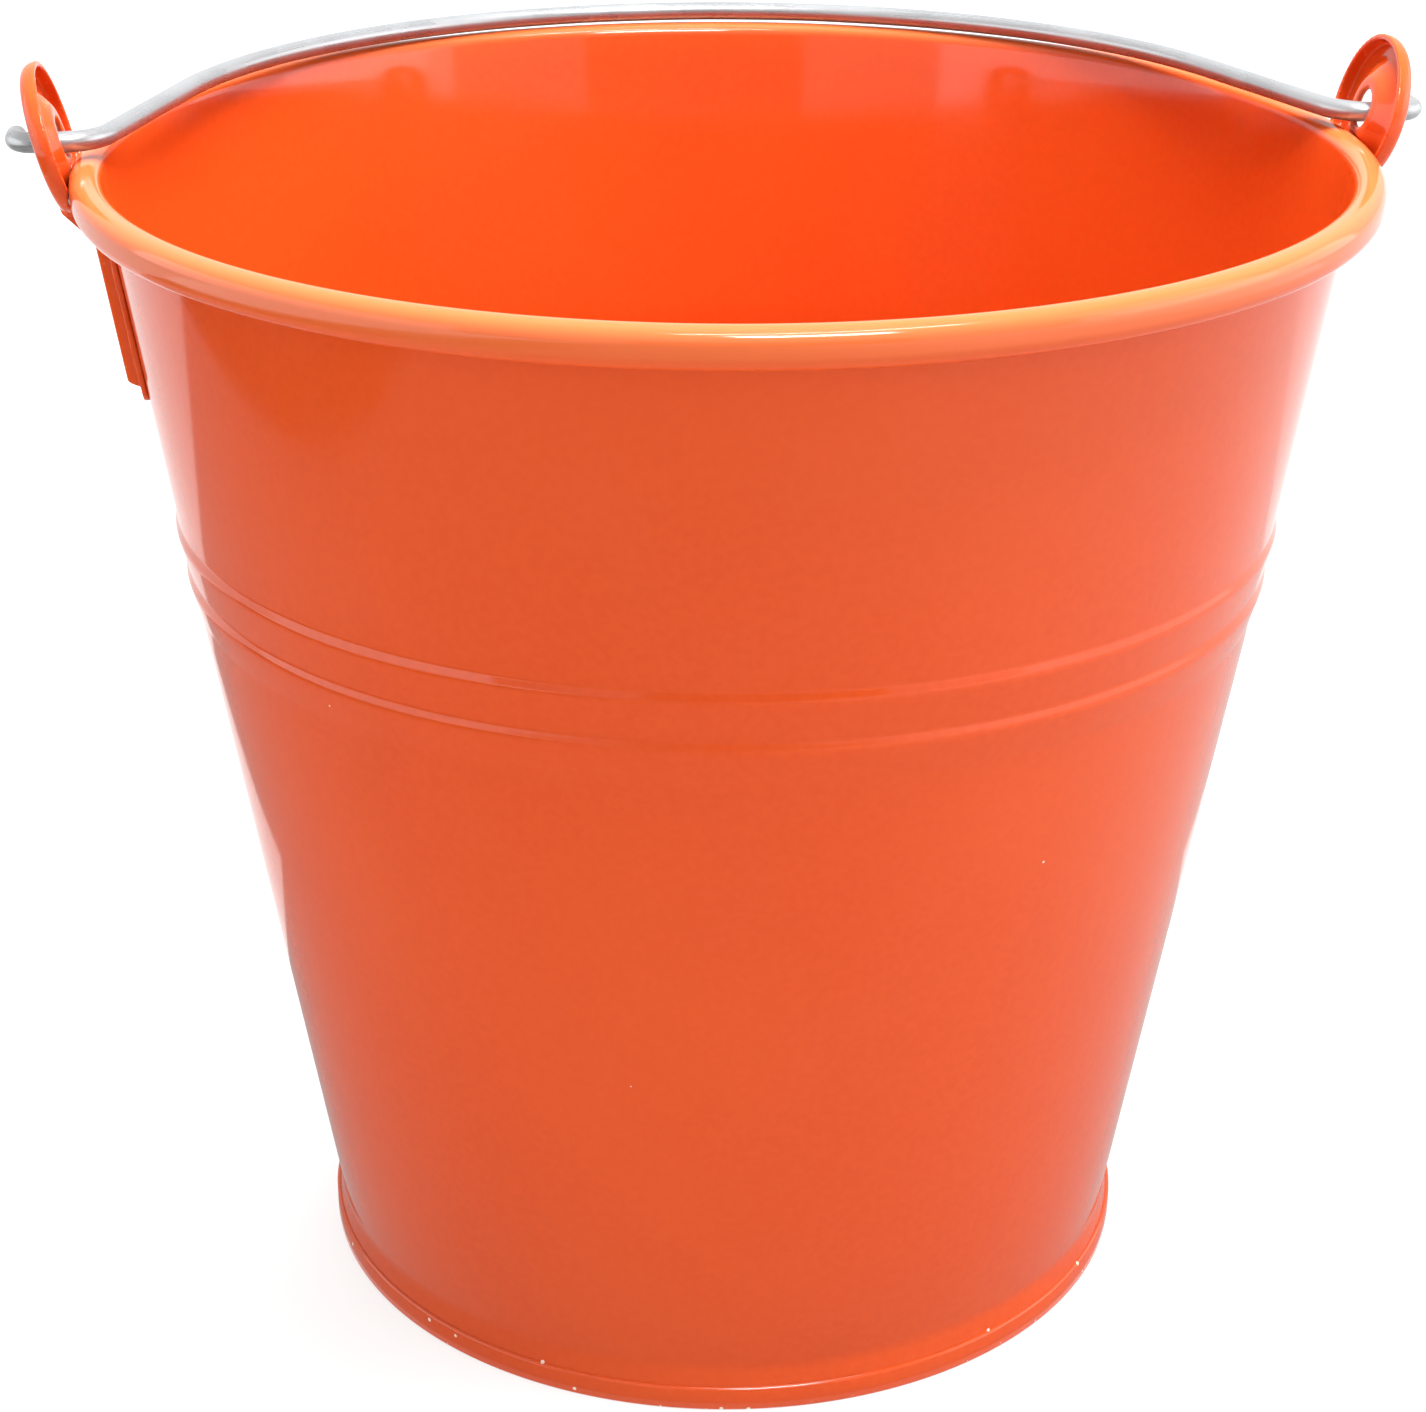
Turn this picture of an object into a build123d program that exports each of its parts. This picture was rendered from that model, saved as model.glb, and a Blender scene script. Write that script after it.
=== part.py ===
"""A small sheet-steel pail with a curled rim, two pressed ears and a wire bail.

Frame: the origin is the centre of the ring that the pail stands on. +Z is up.
The ears stand on -X and +X, and the bail lies folded back over the +Y rim.
"""

import os
from math import atan2, cos, degrees, radians, sin, tan

from build123d import *

# Driving dimensions, millimetres and degrees.
pail_height = 205.0
rim_radius = 110.0          # outside of the rolled rim
sheet = 0.5                 # body and bottom sheet thickness
wall_r_top = 105.4          # outside of the wall, run up to the rim's top
wall_r_kink = 95.1          # outside of the wall between the two ribs
kink_z = 137.5
wall_r_floor = 72.5         # outside of the lower wall, run down to the floor

rib_pitch = 8.6
rib_width = 7.6
rib_rise = 0.75
rib_crest_share = 0.24      # where the crest sits, from the rib's top edge down

bead_height = 6.5
foot_radius = 75.1          # outside of the folded foot ring
foot_height = 4.3
seam_gap = 0.05             # between the layers of the folded foot
pan_level = 8.6             # middle of the bottom's sheet

lap_width = 6.0             # side seam, lapped inside the wall
lap_thickness = 0.45

ear_sheet = 1.0
ear_gap = 0.02               # strap to wall, before paint
cope_gap = 0.12              # ear to rolled rim
ear_lean = 14.7             # the ear's dish leans out from the vertical
ear_half_width = 14.5
ear_half_height = 13.05
ear_centre_drop = 0.15      # dish centre below the bail hole
ear_depth = 3.1
ear_edge_bend = 2.2         # outer bend of the dish's turned edge
ear_floor_r = 113.9         # outside of the dish floor, at the bail hole
ear_hole_radius = 3.25
boss_base_radius = 10.2
boss_rise = 2.3

strap_width = 24.0
strap_bottom = 165.5
strap_top = 197.4
strap_corner = 4.0          # radius of the strap's lower corners
channel_width = 15.0
channel_bottom = 167.4
channel_nose = 1.1          # how far the channel's lower end slopes
channel_proud = 2.9         # channel web above the wall
neck_level = 197.8          # where the ear turns in under the rim
neck_run = 4.8              # height over which it turns in
neck_lap = 4.2              # height over which the channel runs up the dish

wire_radius = 1.75
hinge_z = 208.0
hook_x = 119.75             # middle of the hook's leg
hook_bend = 3.5
hook_length = 6.2
arm_bend = 8.0
arm_angle = 18.0            # where the bow starts, measured at the bow's centre
bail_bow_radius = 98.3
bail_bow_centre = 9.9       # behind the hinge line
rim_clearance = 0.3         # between the resting bail and the rim

# Worked-out values.
half = sheet / 2
upper_slope = (wall_r_top - wall_r_kink) / (pail_height - kink_z)
lower_slope = (wall_r_kink - wall_r_floor) / kink_z


def wall_radius(z):
    """Outside radius of the plain wall at height z."""
    if z >= kink_z:
        return wall_r_kink + (z - kink_z) * upper_slope
    return wall_r_floor + z * lower_slope


def radial_plane(angle):
    """Upright plane through the pail's axis, its x pointing out at angle."""
    out = (cos(radians(angle)), sin(radians(angle)), 0)
    return Plane(origin=(0, 0, 0), x_dir=out, z_dir=(out[1], -out[0], 0))


def wall_middle(z, rise=0.0):
    """Point in the middle of the wall's sheet at height z."""
    return (wall_radius(z) - half + rise, z)


def rib_corners(top_z):
    """Upper edge and crest of a rib whose upper edge is at top_z."""
    crest_z = top_z - rib_width * rib_crest_share
    return [wall_middle(top_z), wall_middle(crest_z, rib_rise)]


# Corners of the wall between the foot and the rim, from the top down, with
# the radius of the bend at each.
first_rib_top = kink_z + rib_pitch - 1.0
rib_points = rib_corners(first_rib_top) + rib_corners(first_rib_top - rib_pitch)
rib_points.append(wall_middle(first_rib_top - rib_pitch - rib_width))
rib_bends = [1.8, 2.5, 1.8, 2.5, 9.0]

fold_r = foot_radius - sheet - seam_gap - half      # body layer inside the foot's fold
cove_top_z = 8.0
fold_top_z = foot_height + 0.2

curl_top_z = pail_height - half
curl_bottom_z = pail_height - bead_height + half
curl_outer_r = rim_radius - half
curl_end_r = wall_radius(curl_bottom_z) + 0.9


# Body shell: one sheet, rolled to a cone, swaged with two ribs, curled out at
# the rim and flared at the foot.
with BuildPart() as body_shell:
    with BuildSketch(Plane.XZ) as body_section:
        with BuildLine() as body_line:
            FilletPolyline(
                (fold_r, 1.2),
                (fold_r, fold_top_z),
                wall_middle(cove_top_z),
                *reversed(rib_points),
                wall_middle(curl_top_z),
                (curl_outer_r, curl_top_z),
                (curl_outer_r, curl_bottom_z),
                (curl_end_r, curl_bottom_z),
                (curl_end_r + 0.35, curl_bottom_z + 2.3),
                radius=[1.6, 7.0] + rib_bends[::-1] + [2.2, 2.3, 2.2, 1.6],
            )
            offset(amount=half, side=Side.BOTH)
        make_face()
    revolve(axis=Axis.Z)

    # Side seam: the sheet's lapped edge, a low strip inside the wall at -X.
    lap_angle = degrees(lap_width / wall_r_kink)
    lap_middle = half + lap_thickness / 2 - 0.02
    with BuildSketch(radial_plane(180 - lap_angle / 2)) as lap_section:
        with BuildLine() as lap_line:
            lap_points = [
                wall_middle(cove_top_z + 4.0),
                *reversed(rib_points),
                wall_middle(pail_height - bead_height),
            ]
            FilletPolyline(
                *[(r - lap_middle, z) for r, z in lap_points],
                radius=rib_bends[::-1],
            )
            offset(amount=lap_thickness / 2, side=Side.BOTH)
        make_face()
    revolve(axis=Axis.Z, revolution_arc=lap_angle)
body_shell.part.label = "body_shell"


# Bottom pan: a disc with its edge turned down inside the body and folded
# round the body's foot, which makes the foot ring.
pan_r = fold_r - sheet - seam_gap
hem_r = foot_radius - half
fold_bend = 0.35

with BuildPart() as bottom_pan:
    with BuildSketch(Plane.XZ) as pan_section:
        with BuildLine() as pan_line:
            FilletPolyline(
                (0.4, pan_level),
                (pan_r - 1.15, pan_level),
                (pan_r, foot_height - 0.1),
                (pan_r, half),
                (hem_r, half),
                (hem_r, foot_height - half),
                radius=[1.2, 2.0, fold_bend, fold_bend],
            )
            offset(amount=half, side=Side.BOTH)
        make_face()
        with Locations((0, pan_level)):
            Rectangle(1.5, sheet, align=(Align.MIN, Align.CENTER))
    revolve(axis=Axis.Z)
bottom_pan.part.label = "bottom_pan"


# Ears: each is one pressing, a dish with a raised boss for the bail above the
# rim, a channel that passes outside the rim, and a strap welded to the wall.
lean = radians(ear_lean)
dish_plane = Plane(
    origin=(ear_floor_r, 0, hinge_z),
    x_dir=(0, -1, 0),
    z_dir=(-cos(lean), 0, sin(lean)),
)
boss_plane = Plane(
    origin=dish_plane.origin,
    x_dir=dish_plane.y_dir,
    z_dir=dish_plane.x_dir,
)
into_pail = Axis(dish_plane.origin, dish_plane.z_dir)
strap_angle = degrees(strap_width / wall_radius(strap_top))
ear_half = ear_sheet / 2


def floor_point(z, inward=0.0):
    """Point on the dish floor's outside at height z, or inward of it."""
    return (ear_floor_r + (z - hinge_z) * tan(lean) - inward / cos(lean), z)


def strap_point(z, proud):
    """Point proud of the wall at height z."""
    return (wall_radius(z) + proud, z)


def channel_outline(inset):
    """Corners of the channel's outside from the foot up, set in by inset."""
    return [
        strap_point(channel_bottom + inset, ear_gap),
        strap_point(channel_bottom + channel_nose + inset, channel_proud - inset),
        strap_point(neck_level - neck_run, channel_proud - inset),
        floor_point(neck_level, inset),
    ]


# The channel's outer form, before it is hollowed and joined to the ear.
with BuildPart() as channel:
    with BuildSketch(Plane.XZ):
        with BuildLine():
            Polyline(
                *channel_outline(0),
                floor_point(neck_level + neck_lap),
                floor_point(neck_level + neck_lap, ear_sheet),
                floor_point(neck_level, ear_sheet),
                strap_point(neck_level - neck_run, ear_gap),
                close=True,
            )
        make_face()
    extrude(amount=channel_width / 2, both=True)
    web_corners = channel.edges().filter_by(
        lambda edge: abs(edge.center().Y) > channel_width / 2 - 0.01
        and edge.center().Z < neck_level - neck_run
        and edge.center().X > wall_radius(edge.center().Z) + 2
    )
    fillet(web_corners, radius=1.4)


with BuildPart() as right_ear:
    # Dish, its edge turned towards the pail.
    with BuildSketch(dish_plane):
        with Locations((0, -ear_centre_drop)):
            Ellipse(ear_half_width, ear_half_height)
    extrude(amount=ear_depth)
    fillet(right_ear.edges().filter_by(GeomType.ELLIPSE).sort_by(into_pail)[0], radius=ear_edge_bend)
    with BuildSketch(dish_plane.offset(ear_sheet)):
        with Locations((0, -ear_centre_drop)):
            Ellipse(ear_half_width - ear_sheet, ear_half_height - ear_sheet)
    extrude(amount=ear_depth, mode=Mode.SUBTRACT)

    # Raised boss round the bail hole.
    with BuildSketch(dish_plane):
        Circle(boss_base_radius)
    extrude(amount=ear_depth, mode=Mode.SUBTRACT)
    with BuildSketch(boss_plane):
        with BuildLine():
            FilletPolyline(
                (boss_base_radius + 0.3, ear_half),
                (boss_base_radius - 1.2, ear_half),
                (ear_hole_radius + 1.9, ear_half + boss_rise),
                (ear_hole_radius + ear_half, ear_half + boss_rise),
                radius=[3.0, 2.0],
            )
            offset(amount=ear_half, side=Side.BOTH)
        make_face()
    revolve(axis=into_pail)

    # Cope round the rolled rim.
    with BuildSketch(Plane.XZ):
        with Locations((rim_radius + cope_gap, pail_height - bead_height / 2)):
            RectangleRounded(
                12, bead_height + 2 * cope_gap, radius=2.2, align=(Align.MAX, Align.CENTER)
            )
    revolve(axis=Axis.Z, mode=Mode.SUBTRACT)

    # Strap against the wall, with its lower corners rounded.
    with BuildSketch(radial_plane(-strap_angle / 2)):
        with BuildLine():
            Polyline(
                strap_point(strap_bottom, ear_gap),
                strap_point(strap_bottom, ear_gap + ear_sheet),
                strap_point(strap_top, ear_gap + ear_sheet),
                strap_point(strap_top, ear_gap),
                close=True,
            )
        make_face()
    revolve(axis=Axis.Z, revolution_arc=strap_angle)
    lower_corners = right_ear.edges().filter_by(
        lambda edge: edge.center().Z < strap_bottom + 0.1
        and edge.length < ear_sheet + 0.1
    )
    fillet(lower_corners, radius=strap_corner)

    # Channel from the dish down to the strap, hollow towards the wall.
    add(channel.part)
    with BuildSketch(Plane.XZ):
        with BuildLine():
            Polyline(
                *channel_outline(ear_sheet)[1:],
                (rim_radius - 15, neck_level),
                (rim_radius - 15, channel_bottom + ear_sheet + channel_nose),
                close=True,
            )
        make_face()
    extrude(amount=channel_width / 2 - ear_sheet, both=True, mode=Mode.SUBTRACT)
right_ear.part.label = "right_ear"


# The left ear is the same pressing, turned half a turn about the pail's axis.
with BuildPart() as left_ear:
    add(right_ear.part.rotate(Axis.Z, 180))
left_ear.part.label = "left_ear"


# Bail: one wire, hooked at both ends, bowed to lie over the rear of the rim.
bail_tilt = degrees(atan2(hinge_z - pail_height - wire_radius - rim_clearance,
                          bail_bow_centre + bail_bow_radius))
bail_plane = Plane(
    origin=(0, 0, hinge_z),
    x_dir=(1, 0, 0),
    z_dir=(0, sin(radians(bail_tilt)), cos(radians(bail_tilt))),
)
bow_start = (
    bail_bow_radius * cos(radians(arm_angle)),
    bail_bow_centre + bail_bow_radius * sin(radians(arm_angle)),
)
arm_corner_x = bow_start[0] + bow_start[1] * tan(radians(arm_angle))

with BuildPart() as bail:
    with BuildLine(bail_plane) as bail_path:
        FilletPolyline(
            (hook_x, hook_length),
            (hook_x, 0),
            (arm_corner_x, 0),
            bow_start,
            radius=[hook_bend, arm_bend],
        )
        ThreePointArc(
            bow_start,
            (0, bail_bow_centre + bail_bow_radius),
            (-bow_start[0], bow_start[1]),
        )
        FilletPolyline(
            (-bow_start[0], bow_start[1]),
            (-arm_corner_x, 0),
            (-hook_x, 0),
            (-hook_x, hook_length),
            radius=[arm_bend, hook_bend],
        )
    with BuildSketch(Plane(bail_path.line @ 0, z_dir=bail_path.line % 0)):
        Circle(wire_radius)
    sweep()
    fillet(bail.edges().filter_by(GeomType.CIRCLE).filter_by(
        lambda edge: abs(edge.center().Y - hook_length) < 0.5), radius=0.5)
bail.part.label = "bail"


if __name__ == "__main__":
    os.makedirs("parts", exist_ok=True)
    for piece in (body_shell, bottom_pan, left_ear, right_ear, bail):
        export_step(piece.part, f"parts/{piece.part.label}.step")
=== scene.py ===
from math import cos, pi, radians, sin, tan

import bmesh
import bpy
import numpy as np
from mathutils import Euler, Matrix, Vector


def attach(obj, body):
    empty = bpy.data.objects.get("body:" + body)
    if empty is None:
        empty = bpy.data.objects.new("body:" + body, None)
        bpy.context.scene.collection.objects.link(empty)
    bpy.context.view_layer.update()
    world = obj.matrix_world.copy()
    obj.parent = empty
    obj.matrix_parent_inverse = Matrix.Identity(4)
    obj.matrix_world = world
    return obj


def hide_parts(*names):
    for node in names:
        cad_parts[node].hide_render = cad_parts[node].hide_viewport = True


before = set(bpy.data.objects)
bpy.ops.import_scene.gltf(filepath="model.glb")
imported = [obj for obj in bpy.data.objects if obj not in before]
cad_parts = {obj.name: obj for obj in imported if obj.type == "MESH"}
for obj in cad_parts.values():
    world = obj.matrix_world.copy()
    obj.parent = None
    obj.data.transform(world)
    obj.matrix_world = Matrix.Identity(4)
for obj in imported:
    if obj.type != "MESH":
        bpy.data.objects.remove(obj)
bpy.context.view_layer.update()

MM = 0.001

# Sizes of the sheet-metal sections, in millimetres, as the CAD has them.
PAIL_HEIGHT = 205.0
RIM_RADIUS = 110.0
SHEET = 0.5
WALL_R_TOP, WALL_R_KINK, WALL_R_FLOOR = 105.4, 95.1, 72.5
KINK_Z = 137.5
RIB_PITCH, RIB_WIDTH, RIB_RISE, RIB_CREST_SHARE = 8.6, 7.6, 0.75, 0.24
BEAD_HEIGHT = 6.5
FOOT_RADIUS, FOOT_HEIGHT = 75.1, 4.3
SEAM_GAP = 0.05
PAN_LEVEL = 8.6
LAP_WIDTH, LAP_THICKNESS = 6.0, 0.45
WIRE_RADIUS = 1.75
HINGE_Z = 208.0
HOOK_X, HOOK_BEND, HOOK_LENGTH, ARM_BEND = 119.75, 3.5, 6.2, 8.0
BOW_RADIUS, BOW_CENTRE, ARM_ANGLE = 98.3, 9.9, radians(18.0)
RIM_CLEARANCE = 0.3
WIRE_CHAMFER = 0.45
BAIL_SLIDE = 1.0  # the bail has slid this far towards +X in its holes
WELD_SPOTS = [(y, z) for y in (-9.7, 9.7) for z in (174.5, 187.5)]  # in the edges of each ear's strap
EAR_VOXEL = 0.24

HALF = SHEET / 2
UPPER_SLOPE = (WALL_R_TOP - WALL_R_KINK) / (PAIL_HEIGHT - KINK_Z)
LOWER_SLOPE = (WALL_R_KINK - WALL_R_FLOOR) / KINK_Z


# ---------------------------------------------------------------- geometry
def wall_radius(z):
    """Outside radius of the plain wall at height z."""
    if z >= KINK_Z:
        return WALL_R_KINK + (z - KINK_Z) * UPPER_SLOPE
    return WALL_R_FLOOR + z * LOWER_SLOPE


def wall_middle(z, rise=0.0):
    """Middle of the wall's sheet at height z, pushed out by rise."""
    return (wall_radius(z) - HALF + rise, z)


def rib_corners(top_z):
    """Top and crest of a rib that starts at height top_z."""
    return [wall_middle(top_z), wall_middle(top_z - RIB_WIDTH * RIB_CREST_SHARE, RIB_RISE)]


def rounded_path(corners, radii, run_step, arc_step):
    """Points along a polyline with its inner corners rounded, and the direction at each."""
    corners = [np.array(c, float) for c in corners]
    points, headings = [corners[0]], []
    last = corners[0]
    for i, radius in enumerate(radii, start=1):
        a = corners[i] - corners[i - 1]
        b = corners[i + 1] - corners[i]
        a, b = a / np.linalg.norm(a), b / np.linalg.norm(b)
        turn = np.arctan2(a[0] * b[1] - a[1] * b[0], a @ b)
        start = corners[i] - a * radius * tan(abs(turn) / 2)
        heading = np.arctan2(a[1], a[0])
        count = max(1, round(np.linalg.norm(start - last) / run_step))
        if not headings:
            headings.append(heading)
        for k in range(1, count + 1):
            points.append(last + (start - last) * k / count)
            headings.append(heading)
        side = np.array([-a[1], a[0]]) * np.sign(turn)
        centre = start + side * radius
        count = max(2, round(abs(turn) * radius / arc_step))
        for k in range(1, count + 1):
            angle = heading + turn * k / count
            out = np.array([sin(angle), -cos(angle)]) * np.sign(turn)
            points.append(centre + out * radius)
            headings.append(angle)
        last = points[-1]
    count = max(1, round(np.linalg.norm(corners[-1] - last) / run_step))
    for k in range(1, count + 1):
        points.append(last + (corners[-1] - last) * k / count)
        headings.append(headings[-1])
    return np.array(points), np.array(headings)


def sheet_section(points, headings, half, start_cap=True):
    """Closed outline of a sheet along a path, with rounded edges; the side is +1 on the path's right."""
    right = np.stack([np.sin(headings), -np.cos(headings)], 1)
    steps = (0.25, 0.5, 0.75)

    def cap(end, heading, turn_from):
        angles = [turn_from + heading - pi / 2 + pi * s for s in steps]
        return np.array([[end[0] + half * cos(a), end[1] + half * sin(a)] for a in angles])

    parts = [points + right * half, cap(points[-1], headings[-1], 0.0), (points - right * half)[::-1]]
    sides = [np.ones(len(points)), np.zeros(3), -np.ones(len(points))]
    if start_cap:
        parts.append(cap(points[0], headings[0], pi))
        sides.append(np.zeros(3))
    return np.concatenate(parts), np.concatenate(sides)


def new_object(name, verts, faces):
    """A smooth-shaded mesh object, in metres, with its faces turned outward."""
    mesh = bpy.data.meshes.new(name)
    mesh.from_pydata(verts, [], faces)
    bm = bmesh.new()
    bm.from_mesh(mesh)
    bmesh.ops.recalc_face_normals(bm, faces=bm.faces)
    bm.to_mesh(mesh)
    bm.free()
    mesh.shade_smooth()
    obj = bpy.data.objects.new(name, mesh)
    bpy.context.scene.collection.objects.link(obj)
    return obj


def lathe(name, section, sides, angles, shape, poles=False):
    """Section points (radius, height) turned about Z; shape moves radii, given angle, height and side.

    With poles the section is open, and its first and last points lie on the axis."""
    ends = section[[0, -1], 1]
    if poles:
        section, sides = section[1:-1], sides[1:-1]
    r, z = section[:, 0], section[:, 1]
    rings = []
    for angle in angles:
        radius = r + shape(angle, z, sides)
        rings.append(np.stack([radius * cos(angle), radius * sin(angle), z], 1))
    n, m = len(section), len(angles)
    i, j = np.meshgrid(np.arange(m), np.arange(n - 1 if poles else n), indexing="ij")
    i2, j2 = (i + 1) % m, (j + 1) % n
    faces = np.stack([i * n + j, i2 * n + j, i2 * n + j2, i * n + j2], -1).reshape(-1, 4).tolist()
    if poles:
        rings.append(np.array([(0, 0, ends[0]), (0, 0, ends[1])]))
        for pole, index in ((m * n, 0), (m * n + 1, n - 1)):
            faces += [(pole, i * n + index, (i + 1) % m * n + index) for i in range(m)]
    return new_object(name, (np.concatenate(rings) * MM).tolist(), faces)


def step_up(x, a, b):
    """0 below a, 1 above b and smooth between."""
    t = np.clip((x - a) / (b - a), 0, 1)
    return t * t * (3 - 2 * t)


# Body shell.
first_rib_top = KINK_Z + RIB_PITCH - 1.0
rib_points = rib_corners(first_rib_top) + rib_corners(first_rib_top - RIB_PITCH)
rib_points.append(wall_middle(first_rib_top - RIB_PITCH - RIB_WIDTH))
foot_bends, rib_bends, curl_bends = [1.6, 7.0], [9.0, 2.5, 1.8, 2.5, 1.8], [2.2, 2.3, 2.2, 1.6]
fold_r = FOOT_RADIUS - SHEET - SEAM_GAP - HALF
curl_top, curl_bottom = PAIL_HEIGHT - HALF, PAIL_HEIGHT - BEAD_HEIGHT + HALF
curl_outer = RIM_RADIUS - HALF
curl_end = wall_radius(curl_bottom) + 0.9

body_path, body_heading = rounded_path(
    [
        (fold_r, 1.2),
        (fold_r, FOOT_HEIGHT + 0.2),
        wall_middle(8.0),
        *reversed(rib_points),
        wall_middle(curl_top),
        (curl_outer, curl_top),
        (curl_outer, curl_bottom),
        (curl_end, curl_bottom),
        (curl_end + 0.35, curl_bottom + 2.3),
    ],
    foot_bends + rib_bends + curl_bends,
    run_step=4.5,
    arc_step=0.42,
)
body_section, body_sides = sheet_section(body_path, body_heading, HALF)


def body_shape(angle, z, sides):
    """Small departures from a true cone: rolling waves, and the lapped side seam at -X."""
    free = step_up(z, 12, 40) * (1 - step_up(z, 150, 192)) * sin(angle) ** 2
    waves = 0.07 * sin(3 * angle + 0.9) * np.sin(z / 31.0 + 0.4)
    waves = waves + 0.045 * sin(5 * angle + 2.1) * np.sin(z / 22.0 + 1.7)
    waves = waves + 0.02 * sin(11 * angle + 0.3) * np.sin(z / 13.0)
    off_seam = abs(angle % (2 * pi) - pi) * WALL_R_KINK
    strip = 1 - step_up(np.array(off_seam), LAP_WIDTH / 2 - 0.25, LAP_WIDTH / 2 + 0.1)
    inside = (sides < 0) * step_up(z, 11.5, 12.3) * (1 - step_up(z, 197.6, 198.4))
    weld = np.exp(-((off_seam / 0.35) ** 2)) * (sides > 0) * step_up(z, 9, 12) * (1 - step_up(z, 196, 198))
    return free * waves - LAP_THICKNESS * strip * inside - 0.07 * weld


# One step a degree round the wall, and four a degree across the seam.
coarse = [radians(a) for a in range(-176, 177)]
seam = [radians(176 + 0.25 * k) for k in range(1, 32)]
body = lathe("body_shell_skin", body_section, body_sides, np.array(coarse + seam), body_shape)

# The enamel is drawn thinner over the curl of the rim, and the curl's upper part is also paler as a painted
# highlight, where the overhead light falls on it.
beyond_wall = body_section[:, 0] - [wall_radius(z) for z in body_section[:, 1]]
curl = step_up(body_section[:, 1], 198.6, 202.0) * step_up(beyond_wall, 0.1, 1.2)
curl = np.maximum(curl, step_up(body_section[:, 1], 203.4, 204.6))
curl_paint_and_highlight = body.data.attributes.new("curl_thinner_paint_and_painted_highlight", "FLOAT", "POINT")
curl_paint_and_highlight.data.foreach_set("value", np.tile(curl, len(coarse + seam)))

# Bottom pan with the folded foot ring.
pan_r = fold_r - SHEET - SEAM_GAP
pan_path, pan_heading = rounded_path(
    [
        (0.0, PAN_LEVEL),
        (pan_r - 1.15, PAN_LEVEL),
        (pan_r, FOOT_HEIGHT - 0.1),
        (pan_r, HALF),
        (FOOT_RADIUS - HALF, HALF),
        (FOOT_RADIUS - HALF, FOOT_HEIGHT - HALF),
    ],
    [1.2, 2.0, 0.35, 0.35],
    run_step=2.5,
    arc_step=0.12,
)
pan_section, pan_sides = sheet_section(pan_path, pan_heading, HALF, start_cap=False)
# Paint fills the corner between the hem's cut edge and the wall.
hem_edge = (pan_section[:, 1] > FOOT_HEIGHT - HALF - 0.02) & (pan_section[:, 0] > fold_r)
paint_rise = np.clip((FOOT_RADIUS - 0.16 - pan_section[:, 0]) / 0.3, 0, 1) * hem_edge
pan_section = pan_section + np.stack([-0.14 * paint_rise, 0.42 * paint_rise], 1)


def pan_shape(angle, z, sides):
    """The hem of the foot, pressed slightly unevenly round the ring."""
    hem = (sides > 0) * (z < FOOT_HEIGHT + 0.3) * step_up(z, 0.6, 2.0)
    return hem * (0.018 * sin(23 * angle + 0.5) + 0.014 * sin(61 * angle))


whole_turn = np.linspace(0, 2 * pi, 360, endpoint=False)
pan = lathe("bottom_pan_skin", pan_section, pan_sides, whole_turn, pan_shape, poles=True)


# Ears.
def pressed_ear(node, side):
    """The CAD ear, with the soft edges that pressing and paint give; side is -1 or +1 along X."""
    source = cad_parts[node]
    mesh = source.data.copy()
    bm = bmesh.new()
    bm.from_mesh(mesh)
    bmesh.ops.remove_doubles(bm, verts=bm.verts, dist=1e-6)
    bm.to_mesh(mesh)
    bm.free()
    rough = bpy.data.objects.new(node + "_source", mesh)
    bpy.context.scene.collection.objects.link(rough)
    remesh = rough.modifiers.new("remesh", "REMESH")
    remesh.mode = "VOXEL"
    remesh.voxel_size = EAR_VOXEL * MM
    remesh.adaptivity = 0.0
    soften = rough.modifiers.new("soften", "SMOOTH")
    soften.factor = 0.5
    soften.iterations = 5
    final = bpy.data.meshes.new_from_object(rough.evaluated_get(bpy.context.evaluated_depsgraph_get()))
    bpy.data.objects.remove(rough)
    final.name = node + "_pressing"
    co = np.zeros(len(final.vertices) * 3)
    final.vertices.foreach_get("co", co)
    co = co.reshape(-1, 3) / MM
    # Each spot weld leaves a dimple with a low raised ring round it.
    for y, z in WELD_SPOTS:
        near = np.hypot(co[:, 1] - y, co[:, 2] - z)
        outer = np.hypot(co[:, 0], co[:, 1]) > wall_radius(z) + 0.6 + (co[:, 2] - z) * UPPER_SLOPE
        dimple = 0.28 * (1 - step_up(near, 0.7, 1.9))
        ring = 0.08 * np.exp(-(((near - 2.1) / 0.4) ** 2))
        co[:, 0] -= side * (dimple - ring) * outer
    final.vertices.foreach_set("co", (co * MM).ravel())
    final.materials.clear()
    final.shade_smooth()
    final.update()
    obj = bpy.data.objects.new(final.name, final)
    bpy.context.scene.collection.objects.link(obj)
    return obj


left_ear = pressed_ear("left_ear", -1)
right_ear = pressed_ear("right_ear", 1)


# Bail.
def bail_line():
    """The wire's middle line, flat, from one hook to the other, with its direction at each point."""
    bow = (BOW_RADIUS * cos(ARM_ANGLE), BOW_CENTRE + BOW_RADIUS * sin(ARM_ANGLE))
    arm_x = bow[0] + bow[1] * tan(ARM_ANGLE)
    path, heading = rounded_path(
        [(HOOK_X, HOOK_LENGTH), (HOOK_X, 0), (arm_x, 0), bow],
        [HOOK_BEND, ARM_BEND],
        run_step=0.8,
        arc_step=0.3,
    )
    sweep = np.linspace(ARM_ANGLE, pi / 2, 151)[1:]
    arc = np.stack([BOW_RADIUS * np.cos(sweep), BOW_CENTRE + BOW_RADIUS * np.sin(sweep)], 1)
    path = np.concatenate([path, arc])
    heading = np.concatenate([heading, sweep + pi / 2])
    path = np.concatenate([path, path[:-1][::-1] * [-1, 1]])
    heading = np.unwrap(np.concatenate([heading, (-heading[:-1] + 2 * pi)[::-1]]))
    return path, heading


def distances(points):
    """Distance of each point from the first, along the line through them."""
    return np.concatenate([[0], np.cumsum(np.linalg.norm(np.diff(points, axis=0), axis=1))])


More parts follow.
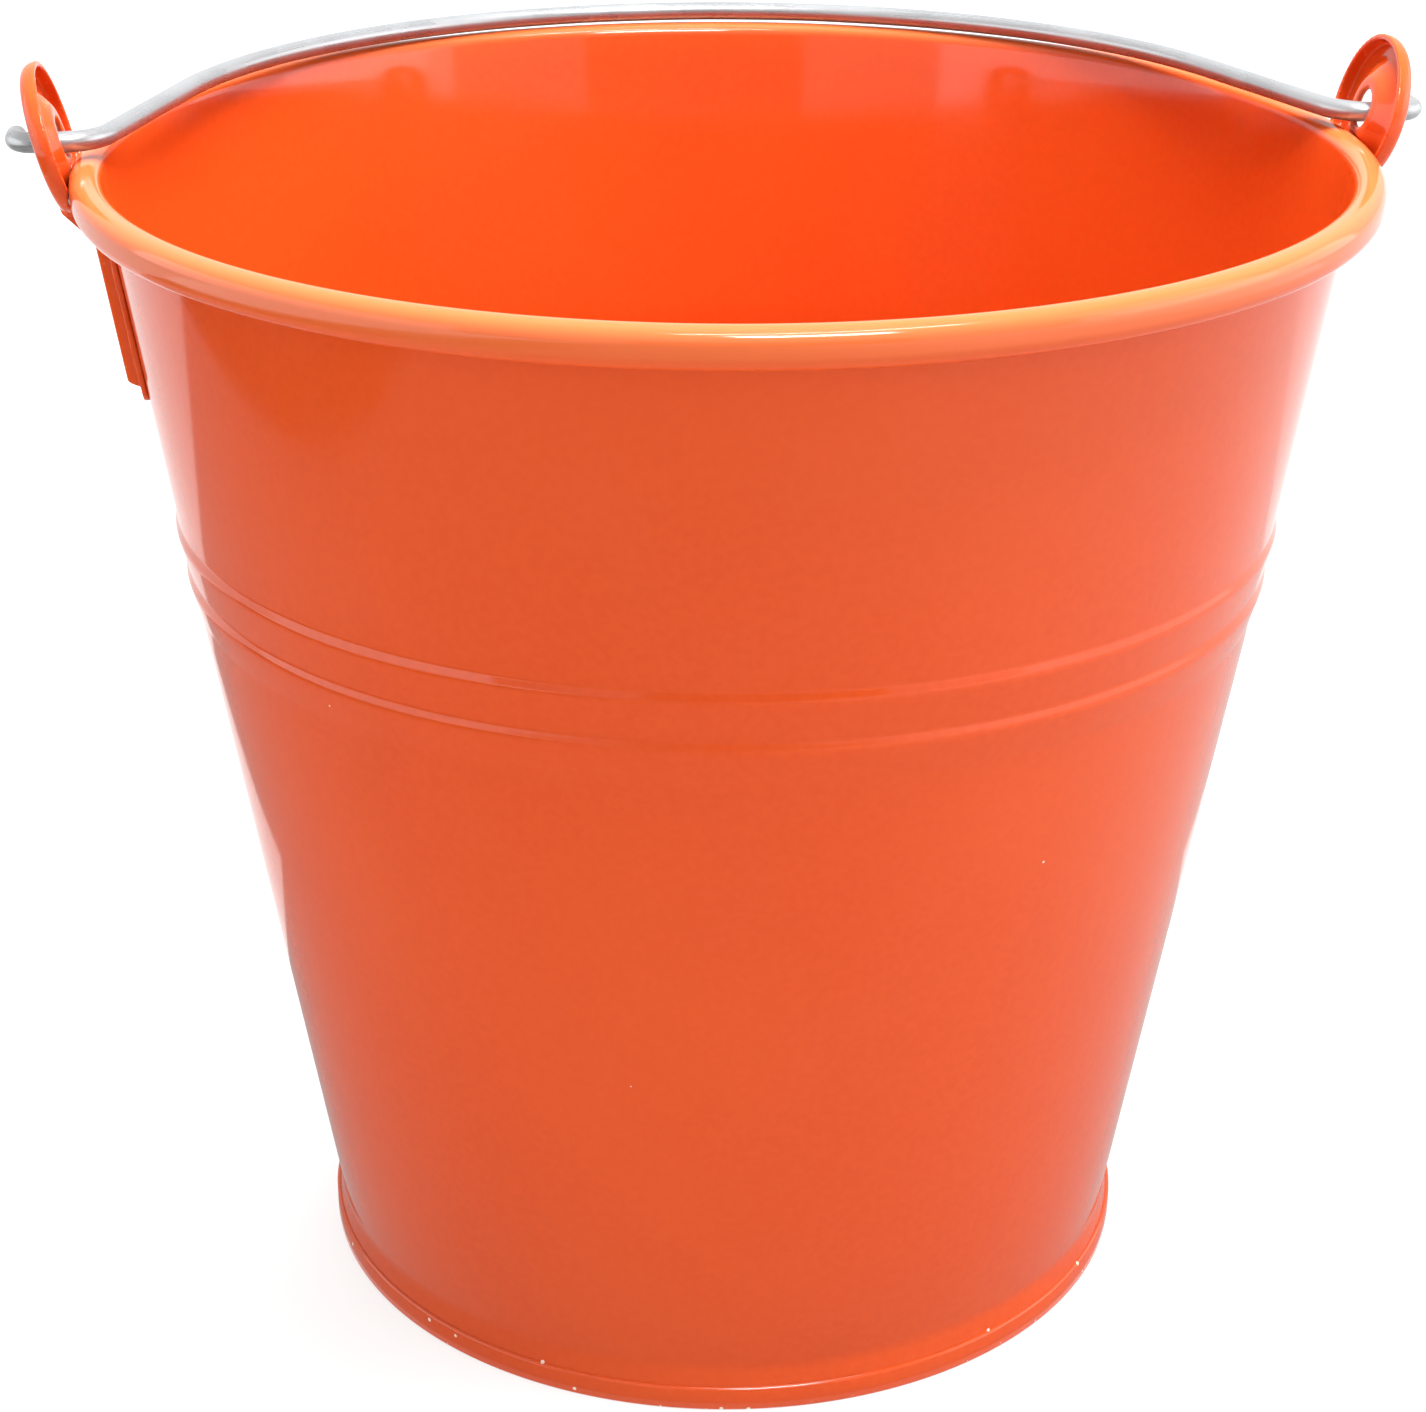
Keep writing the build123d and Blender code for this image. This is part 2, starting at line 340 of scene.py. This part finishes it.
def bail_wire():
    path, heading = bail_line()
    out = np.stack([np.sin(heading), -np.cos(heading)], 1)
    # The cut ends have a small rounded chamfer.
    quarter = np.linspace(pi / 2, 0, 5)
    forward = np.array([cos(heading[0]), sin(heading[0])])
    end = path[0] + forward * WIRE_CHAMFER * (1 - np.sin(quarter))[:, None]
    end_radii = WIRE_RADIUS - WIRE_CHAMFER * (1 - np.cos(quarter))
    along = distances(path)
    keep = (along > WIRE_CHAMFER + 0.05) & (along < along[-1] - WIRE_CHAMFER - 0.05)
    stations = np.concatenate([end, path[keep], end[::-1] * [-1, 1]])
    radii = np.concatenate([end_radii, np.full(keep.sum(), WIRE_RADIUS), end_radii[::-1]])
    outs = np.concatenate([np.repeat(out[:1], len(end), 0), out[keep], np.repeat(out[-1:], len(end), 0)])
    # The drawn wire is not quite even.
    places = distances(stations)
    radii = radii * (1 + 0.006 * np.sin(places / 9.0) + 0.004 * np.sin(places / 3.7 + 1))

    sides, count = 28, len(stations)
    turns = 2 * pi * np.arange(sides) / sides
    across = radii[:, None] * np.cos(turns)
    flat = stations[:, None] + outs[:, None] * across[:, :, None]
    verts = np.concatenate([flat, (radii[:, None] * np.sin(turns))[:, :, None]], 2).reshape(-1, 3)
    # It lies back on the rim, turned about its hinge line.
    drop = HINGE_Z - PAIL_HEIGHT - WIRE_RADIUS - RIM_CLEARANCE
    tilt = np.array(Matrix.Rotation(-np.arctan2(drop, BOW_CENTRE + BOW_RADIUS), 3, "X"))
    verts = (tilt @ verts.T).T + [BAIL_SLIDE, 0, HINGE_Z]
    faces = [
        (i * sides + k, (i + 1) * sides + k, (i + 1) * sides + (k + 1) % sides, i * sides + (k + 1) % sides)
        for i in range(count - 1)
        for k in range(sides)
    ]
    faces.append(tuple(range(sides)))
    faces.append(tuple((count - 1) * sides + k for k in reversed(range(sides))))
    obj = new_object("bail_wire", (verts * MM).tolist(), faces)
    # Where each point is along the wire and round it, for the zinc's drawn lines.
    coords = np.zeros((count * sides, 3))
    coords[:, 0] = np.repeat(places, sides) * MM
    coords[:, 1] = np.tile(np.cos(turns), count) * WIRE_RADIUS * MM
    coords[:, 2] = np.tile(np.sin(turns), count) * WIRE_RADIUS * MM
    layer = obj.data.attributes.new("wire", "FLOAT_VECTOR", "POINT")
    layer.data.foreach_set("vector", coords.ravel())
    return obj


wire = bail_wire()


# ---------------------------------------------------------------- materials
class Shader:
    """A node material, with each node made by one call."""

    def __init__(self, name):
        self.material = bpy.data.materials.new(name)
        self.material.use_nodes = True
        self.tree = self.material.node_tree
        self.tree.nodes.clear()

    def node(self, kind, inputs=None, **props):
        made = self.tree.nodes.new("ShaderNode" + kind)
        for key, value in props.items():
            setattr(made, key, value)
        for key, value in (inputs or {}).items():
            if isinstance(value, bpy.types.NodeSocket):
                self.tree.links.new(value, made.inputs[key])
            else:
                made.inputs[key].default_value = value
        return made

    def math(self, operation, a, b):
        return self.node("Math", {0: a, 1: b}, operation=operation).outputs[0]

    def noise(self, vector, scale, detail, roughness=0.5):
        inputs = {"Vector": vector, "Scale": scale, "Detail": detail, "Roughness": roughness}
        return self.node("TexNoise", inputs).outputs["Fac"]

    def ramp(self, value, low, high, out_low=0.0, out_high=1.0):
        """Smooth change from out_low to out_high as the value goes from low to high."""
        inputs = {"Value": value, "From Min": low, "From Max": high, "To Min": out_low, "To Max": out_high}
        return self.node("MapRange", inputs, interpolation_type="SMOOTHSTEP").outputs["Result"]

    def mix(self, factor, a, b):
        """Colour a at factor 0, and b at 1."""
        made = self.node("Mix", data_type="RGBA")
        for index, value in ((0, factor), (6, a), (7, b)):
            if isinstance(value, bpy.types.NodeSocket):
                self.tree.links.new(value, made.inputs[index])
            else:
                made.inputs[index].default_value = value
        return made.outputs[2]


def orange_enamel():
    s = Shader("orange_enamel")
    coord = s.node("TexCoord").outputs["Object"]
    xyz = s.node("SeparateXYZ", {"Vector": coord})
    height = xyz.outputs["Z"]
    flat = s.node("CombineXYZ", {"X": xyz.outputs["X"], "Y": xyz.outputs["Y"]}).outputs[0]
    radius = s.node("VectorMath", {0: flat}, operation="LENGTH").outputs["Value"]

    # Pigment: broad drift from the spray passes, and a fine mottle.
    drift = s.ramp(s.noise(coord, 14.0, 2.0), 0.35, 0.65)
    mottle = s.ramp(s.noise(coord, 700.0, 2.0), 0.3, 0.7)
    colour = s.mix(drift, (0.57, 0.064, 0.0080, 1), (0.55, 0.058, 0.0070, 1))
    colour = s.mix(s.math("MULTIPLY", mottle, 0.35), colour, (0.60, 0.073, 0.0105, 1))

    # The paint is paler on sharp edges, where it is drawn thinner. Over the rim's curl it is paler for
    # thinner paint and as a painted highlight on the curl's upper part. In creases it is darker: painted
    # shade.
    point = s.node("NewGeometry").outputs["Pointiness"]
    # Paler over the curl: partly thinner enamel, partly a painted highlight on the curl's upper part.
    curl_paint_and_highlight = s.node("Attribute", attribute_name="curl_thinner_paint_and_painted_highlight").outputs["Fac"]
    edge = s.math("MAXIMUM", s.ramp(point, 0.54, 0.64), curl_paint_and_highlight)
    colour = s.mix(s.math("MULTIPLY", edge, 0.85), colour, (0.58, 0.120, 0.034, 1))
    # Painted shade: darker red in creases and hollows, where the mesh's pointiness is low.
    painted_crease_shade = s.ramp(point, 0.47, 0.40)
    colour = s.mix(s.math("MULTIPLY", painted_crease_shade, 0.4), colour, (0.50, 0.040, 0.008, 1))

    # Chips: small and rare on the walls, more on the foot ring.
    cell = s.node("TexVoronoi", {"Vector": coord, "Scale": 240.0}, feature="F1")
    chance = s.node("SeparateColor", {"Color": cell.outputs["Color"]}).outputs["Red"]
    low = s.math("LESS_THAN", height, (FOOT_HEIGHT + 0.9) * MM)
    outer = s.math("GREATER_THAN", radius, (FOOT_RADIUS - 0.9) * MM)
    foot = s.math("MULTIPLY", low, outer)
    need = s.ramp(foot, 0.0, 1.0, 0.996, 0.50)
    reach = s.math("SUBTRACT", cell.outputs["Distance"], s.math("MULTIPLY", foot, 0.035))
    spot = s.ramp(reach, 0.075, 0.045)
    chips = s.math("MULTIPLY", spot, s.math("GREATER_THAN", chance, need))
    ragged = s.noise(coord, 900.0, 3.0, 0.7)
    scuff = s.math("MULTIPLY", s.ramp(ragged, 0.66, 0.72), s.ramp(height, 0.0012, 0.0004))
    chips = s.math("MAXIMUM", chips, s.math("MULTIPLY", scuff, outer))
    colour = s.mix(chips, colour, (0.76, 0.62, 0.50, 1))

    # Gloss, with faint handling marks.
    smear = s.ramp(s.noise(coord, 38.0, 4.0, 0.6), 0.45, 0.8, 0.085, 0.15)
    rough = s.math("ADD", smear, s.math("MULTIPLY", chips, 0.3))

    # Surface: orange peel, dust nibs under the paint, chip hollows.
    peel = s.noise(coord, 420.0, 1.5, 0.45)
    nib_cell = s.node("TexVoronoi", {"Vector": coord, "Scale": 130.0}, feature="F1")
    nib = s.ramp(nib_cell.outputs["Distance"], 0.06, 0.0)
    nib_chance = s.node("SeparateColor", {"Color": nib_cell.outputs["Color"]}).outputs["Green"]
    nib = s.math("MULTIPLY", nib, s.math("GREATER_THAN", nib_chance, 0.93))
    relief = s.math("ADD", s.math("MULTIPLY", peel, 0.10), s.math("MULTIPLY", nib, 0.35))
    relief = s.math("SUBTRACT", relief, s.math("MULTIPLY", chips, 1.2))
    bump = s.node("Bump", {"Strength": 0.35, "Distance": 0.00005, "Height": relief}).outputs[0]

    shader = s.node(
        "BsdfPrincipled",
        {"Base Color": colour, "Roughness": rough, "Normal": bump, "IOR": 1.45},
    )
    s.node("OutputMaterial", {"Surface": shader.outputs[0]})
    return s.material


def galvanised_wire():
    s = Shader("galvanised_wire")
    place = s.node("Attribute", attribute_name="wire").outputs["Vector"]
    stretched = s.node("VectorMath", {0: place, 1: (0.01, 1.0, 1.0)}, operation="MULTIPLY").outputs[0]
    lines = s.noise(stretched, 3000.0, 2.0, 0.5)
    tone = s.ramp(s.noise(place, 60.0, 2.0, 0.5), 0.3, 0.7)
    colour = s.mix(tone, (0.33, 0.34, 0.35, 1), (0.37, 0.38, 0.39, 1))
    colour = s.mix(s.math("MULTIPLY", s.ramp(lines, 0.50, 0.80), 0.14), colour, (0.22, 0.23, 0.24, 1))
    rough = s.ramp(s.math("ADD", lines, tone), 0.6, 1.4, 0.24, 0.34)
    bump = s.node("Bump", {"Strength": 0.06, "Distance": 0.00002, "Height": lines}).outputs[0]
    shader = s.node(
        "BsdfPrincipled",
        {"Base Color": colour, "Metallic": 0.70, "Roughness": rough, "Normal": bump},
    )
    s.node("OutputMaterial", {"Surface": shader.outputs[0]})
    return s.material


enamel, zinc = orange_enamel(), galvanised_wire()
for piece, node, body_name, material, slot in (
    (body, "body_shell", "pail", enamel, "orange_enamel"),
    (pan, "bottom_pan", "pail", enamel, "orange_enamel"),
    (left_ear, "left_ear", "pail", enamel, "orange_enamel"),
    (right_ear, "right_ear", "pail", enamel, "orange_enamel"),
    (wire, "bail", "bail", zinc, "galvanised_wire"),
):
    piece.data.materials.append(material)
    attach(piece, body_name)
    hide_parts(node)


# ---------------------------------------------------------------- studio
WHITE = (1.0, 1.0, 1.0, 1.0)
TABLE_HALF = 6.0
CARD_TOP = 0.002  # the flat cards lie this far above the table
CARD_REAR = 0.24
GLOW_FROM, GLOW_TO = -0.15, 0.6  # where, along X, a card's glow starts and stops rising
OVERHEAD_PLACE, OVERHEAD_SIZE = (0.16, 0.10, 1.5), (1.4, 0.6)
PAIL_TOP = (0, 0, 0.2)

scene = bpy.context.scene
scene.view_settings.view_transform = "Standard"
scene.view_settings.look = "None"


def flat_corners(x1, y1, x2, y2, height):
    return [(x1, y1, height), (x2, y1, height), (x2, y2, height), (x1, y2, height)]


def upright_corners(x1, y1, x2, y2, top):
    return [(x1, y1, 0), (x2, y2, 0), (x2, y2, top), (x1, y1, top)]


# A pale light table, lit from below, which keeps the pail's shadow faint.
whole_table = (-TABLE_HALF, -TABLE_HALF, TABLE_HALF, TABLE_HALF)
table = new_object("light_table", flat_corners(*whole_table, 0), [(0, 1, 2, 3)])
acrylic = Shader("pale_acrylic")
pale = acrylic.mix(
    acrylic.noise(acrylic.node("TexCoord").outputs["Object"], 900.0, 3.0),
    (0.27, 0.27, 0.27, 1),
    (0.29, 0.29, 0.29, 1),
)
acrylic_shader = acrylic.node(
    "BsdfPrincipled",
    {"Base Color": pale, "Roughness": 0.9, "Emission Color": WHITE, "Emission Strength": 0.70},
)
acrylic.node("OutputMaterial", {"Surface": acrylic_shader.outputs[0]})
table.data.materials.append(acrylic.material)


def reflected_card(name, corners, low, high):
    """A flat card seen only in the gloss, its glow rising from low to high towards +X."""
    card = new_object(name, corners, [tuple(range(len(corners)))])
    s = Shader(name)
    across = s.node("SeparateXYZ", {"Vector": s.node("TexCoord").outputs["Object"]}).outputs["X"]
    glow = s.node("Emission", {"Strength": s.ramp(across, GLOW_FROM, GLOW_TO, low, high)})
    s.node("OutputMaterial", {"Surface": glow.outputs[0]})
    card.data.materials.append(s.material)
    card.visible_camera = False
    card.visible_diffuse = False
    card.visible_shadow = False


# What the gloss sees of the table: brighter to the right and behind, and dark in one patch on the left.
rear_corners = flat_corners(-TABLE_HALF, CARD_REAR, TABLE_HALF, TABLE_HALF, CARD_TOP)
dark_patch = ((-0.40, -0.9), (-0.66, -0.9), (-0.66, CARD_REAR), (-0.45, CARD_REAR), (-0.355, -0.10))
reflected_card("graded_card", flat_corners(*whole_table, 0.75 * CARD_TOP), 0.44, 1.25)
reflected_card("rear_card", rear_corners, 1.15, 1.35)
reflected_card("behind_card", flat_corners(-0.16, 0.09, 0.16, CARD_REAR, CARD_TOP), 1.15, 1.35)
reflected_card("left_card", flat_corners(-TABLE_HALF, -1.5, -0.66, CARD_REAR, CARD_TOP), 2.0, 2.0)
reflected_card("right_card", flat_corners(0.75, -1.5, TABLE_HALF, CARD_REAR, CARD_TOP), 2.0, 2.0)
reflected_card("dark_card", [(x, y, CARD_TOP) for x, y in dark_patch], 0.08, 0.08)

# Upright cards: bright at both sides, which draws the light lines on the ribs, and dim in front.
reflected_card("left_wall", upright_corners(-2.0, -1.6, -2.0, 1.2, 1.1), 2.4, 2.4)
reflected_card("right_wall", upright_corners(2.0, -1.6, 2.0, 1.2, 1.1), 2.4, 2.4)
reflected_card("front_wall", upright_corners(-1.0, -2.4, 1.0, -2.4, 1.0), 0.25, 0.25)

world = bpy.data.worlds.new("studio")
world.use_nodes = True
backdrop = world.node_tree.nodes["Background"].inputs
backdrop["Color"].default_value = WHITE
backdrop["Strength"].default_value = 0.95
scene.world = world


def softbox(name, place, target, size, power, in_diffuse=True, in_gloss=True):
    """A rectangular area light that faces its target."""
    data = bpy.data.lights.new(name, "AREA")
    data.shape = "RECTANGLE"
    data.size, data.size_y = size
    data.energy = power
    obj = bpy.data.objects.new(name, data)
    scene.collection.objects.link(obj)
    obj.location = place
    obj.rotation_euler = (Vector(target) - Vector(place)).to_track_quat("-Z", "Y").to_euler()
    obj.visible_camera = False
    obj.visible_diffuse = in_diffuse
    obj.visible_glossy = in_gloss


# The overhead light's image in the gloss is dimmer than its light, so that it doesn't bleach the bottom pan.
softbox("overhead", OVERHEAD_PLACE, PAIL_TOP, OVERHEAD_SIZE, 80, in_gloss=False)
softbox("sheen", OVERHEAD_PLACE, PAIL_TOP, OVERHEAD_SIZE, 9, in_diffuse=False)
softbox("strip", (0.16, -0.40, 1.4), PAIL_TOP, (0.8, 0.08), 6)
softbox("right_panel", (1.2, -0.3, 0.7), (0, 0, 0.1), (0.9, 0.9), 3)
# A polished reflector's image, on the rim, the ears and the wire.
softbox("gleam", (0.17, -0.89, 1.37), (0, -0.1, 0.2), (0.55, 0.30), 17, in_diffuse=False)

# Camera, at the photograph's viewing angle.
CAMERA_YAW, CAMERA_PITCH, CAMERA_ROLL = radians(7.06), radians(-23.35), 0.0048
CAMERA_PLACE = (-0.0622, -0.5026, 0.3231)
camera_data = bpy.data.cameras.new("camera")
camera_data.sensor_width = 36.0
camera_data.lens = 76.1
camera_data.shift_x = -0.0089
camera_data.shift_y = -0.0127
camera = bpy.data.objects.new("camera", camera_data)
scene.collection.objects.link(camera)
turn = Euler((pi / 2 + CAMERA_PITCH, 0, -CAMERA_YAW)).to_matrix() @ Matrix.Rotation(CAMERA_ROLL, 3, "Z")
camera.matrix_world = Matrix.Translation(CAMERA_PLACE) @ turn.to_4x4()
scene.camera = camera
